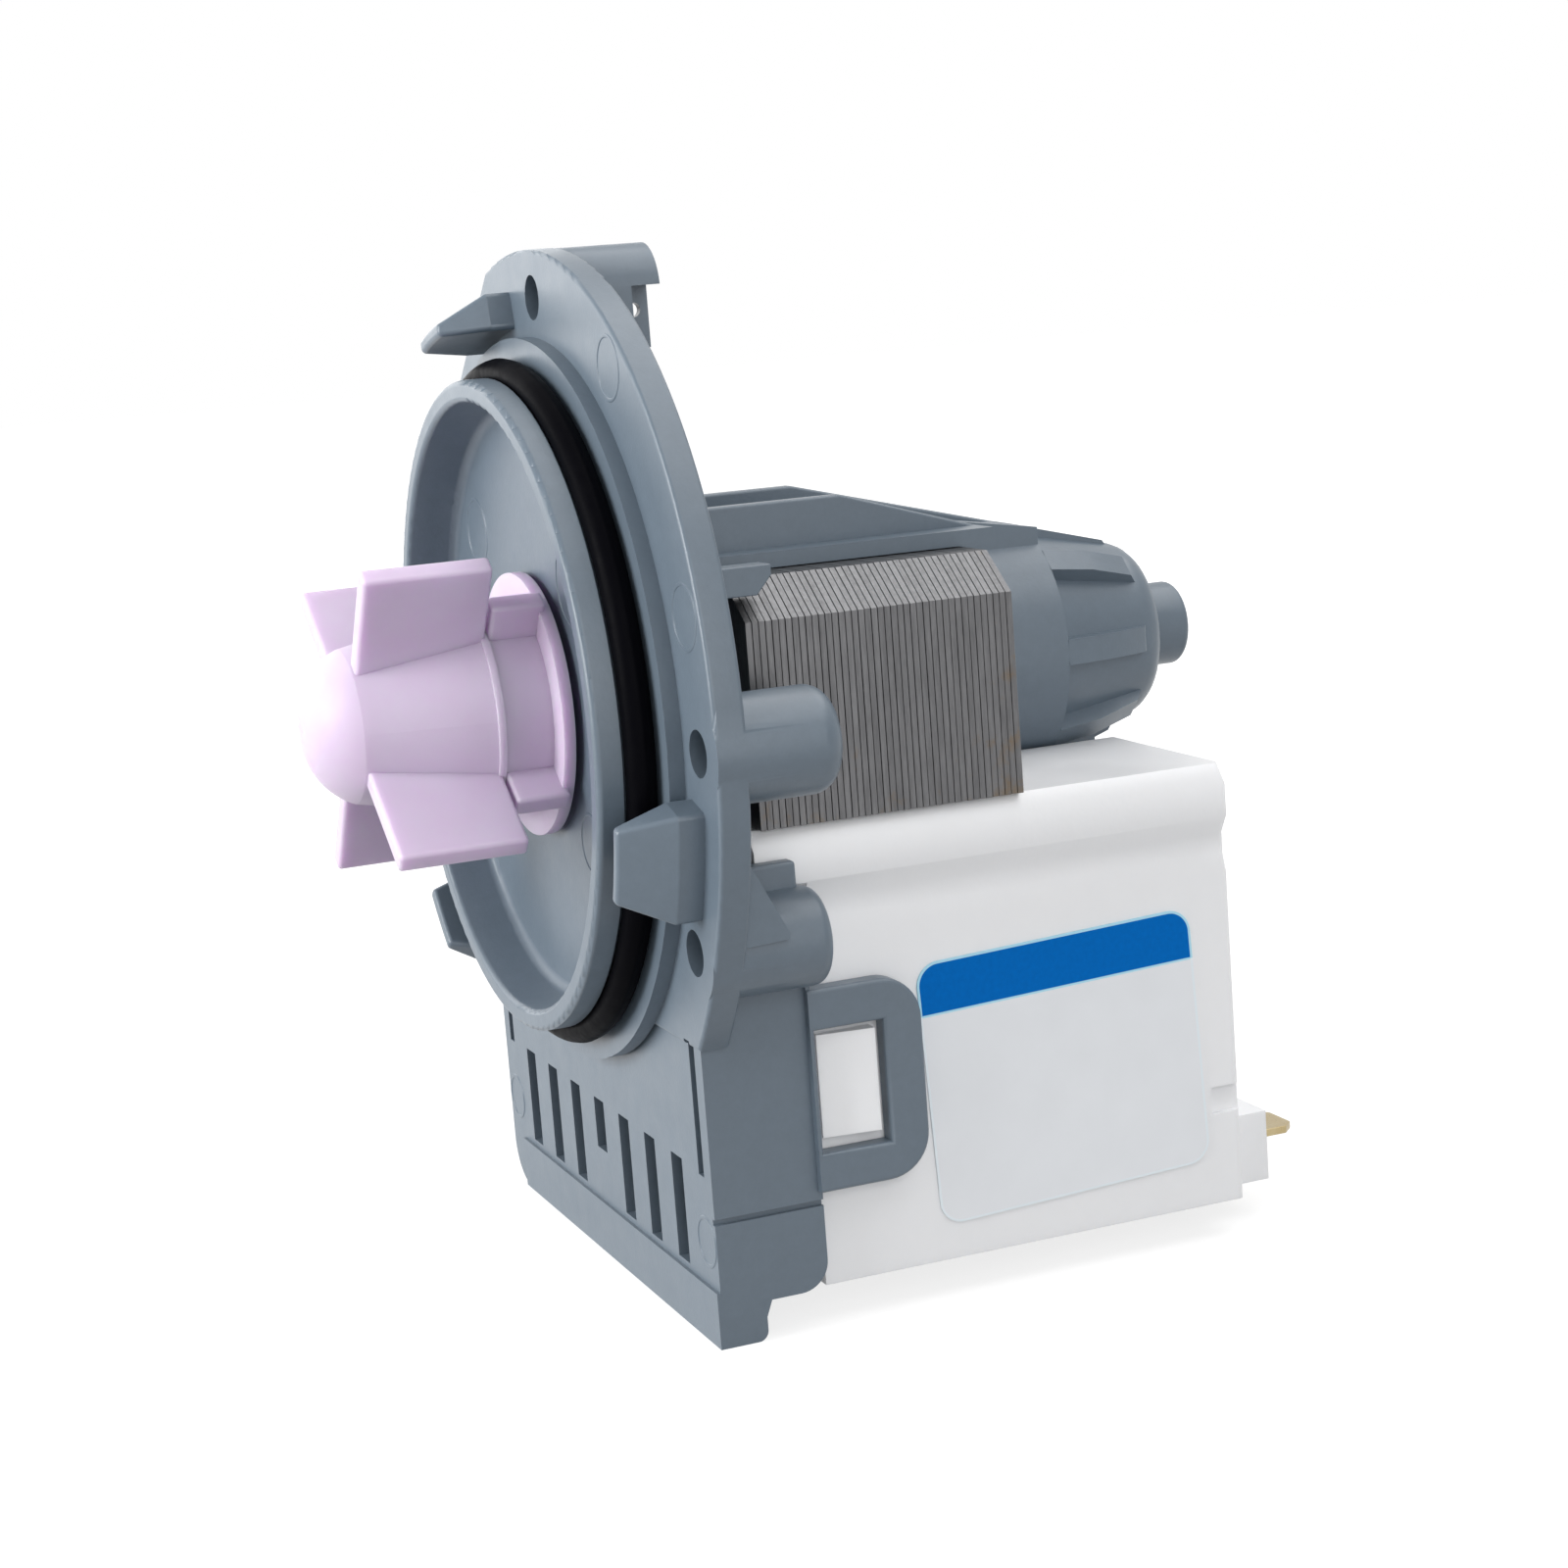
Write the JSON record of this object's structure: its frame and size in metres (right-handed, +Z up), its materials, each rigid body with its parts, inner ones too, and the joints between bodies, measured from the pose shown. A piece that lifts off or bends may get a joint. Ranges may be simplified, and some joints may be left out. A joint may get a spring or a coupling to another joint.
{
  "type": "washer drain pump",
  "caption": "Synchronous drain pump with a round bayonet flange, sealed spigot, four-blade impeller, U-core motor and boxed coils",
  "frame": {"origin": "on the pump axis, in the plane of the flange's front face, at the root of the spigot", "axes": "-Y along the pump axis out of the spigot towards the impeller's nose; +Z up towards the fins, away from the coils; +X to the right seen from the front, the side of the label"},
  "size_m": [0.0882, 0.0948, 0.1012],
  "materials": {
    "grey_plastic": "satin moulded, fine grain",
    "black_rubber": "satin black",
    "lilac_plastic": "slightly translucent, satin",
    "soft_rubber": "matte",
    "sheet_steel": "punched edges",
    "white_plastic": "satin moulded",
    "bobbin_plastic": "matte",
    "copper_wire": "enamelled copper",
    "brass_blade": "bright rolled",
    "label_film": "satin film, blank",
    "ferrite": "ground, matte",
    "sleeve_plastic": "matte",
    "shaft_steel": "ground",
    "bearing_bronze": "sintered",
    "washer_plastic": "smooth",
    "lead_insulation": "smooth",
    "cutout_case": "satin"
  },
  "bodies": {
    "housing": {"front_body": "grey_plastic", "o_ring": "black_rubber", "bearing_holder": "grey_plastic", "shaft_seal": "black_rubber", "front_bearing": "bearing_bronze", "front_bearing_cushion": "black_rubber", "rear_bearing": "bearing_bronze", "rear_bearing_cushion": "black_rubber", "pole_core_right": "sheet_steel", "pole_core_left": "sheet_steel", "yoke_core": "sheet_steel", "coil_bobbin_right": "bobbin_plastic", "coil_bobbin_left": "bobbin_plastic", "winding_right": "copper_wire", "winding_left": "copper_wire", "coil_housing": "white_plastic", "terminal_right": "brass_blade", "terminal_left": "brass_blade", "coil_lead_right": "lead_insulation", "coil_lead_left": "lead_insulation", "coil_link_wire": "lead_insulation", "thermal_cutout": "cutout_case", "rating_label": "label_film"},
    "rotor": {"rotor_magnet": "ferrite", "rotor_sleeve": "sleeve_plastic", "shaft": "shaft_steel", "drive_dog": "sleeve_plastic", "front_thrust_washer": "washer_plastic", "rear_thrust_washer": "washer_plastic"},
    "impeller_unit": {"impeller": "lilac_plastic", "hub_cover": "lilac_plastic", "coupling_damper": "soft_rubber"}
  },
  "joints": [
    {"name": "rotor_spin", "type": "hinge", "parent": "housing", "child": "rotor", "pos_m": [0, 0, 0], "axis": [0, 1, 0], "continuous": true},
    {"name": "impeller_free_turn", "type": "hinge", "parent": "rotor", "child": "impeller_unit", "pos_m": [0, 0, 0], "axis": [0, 1, 0], "range_deg": [-90, 90]}
  ]
}
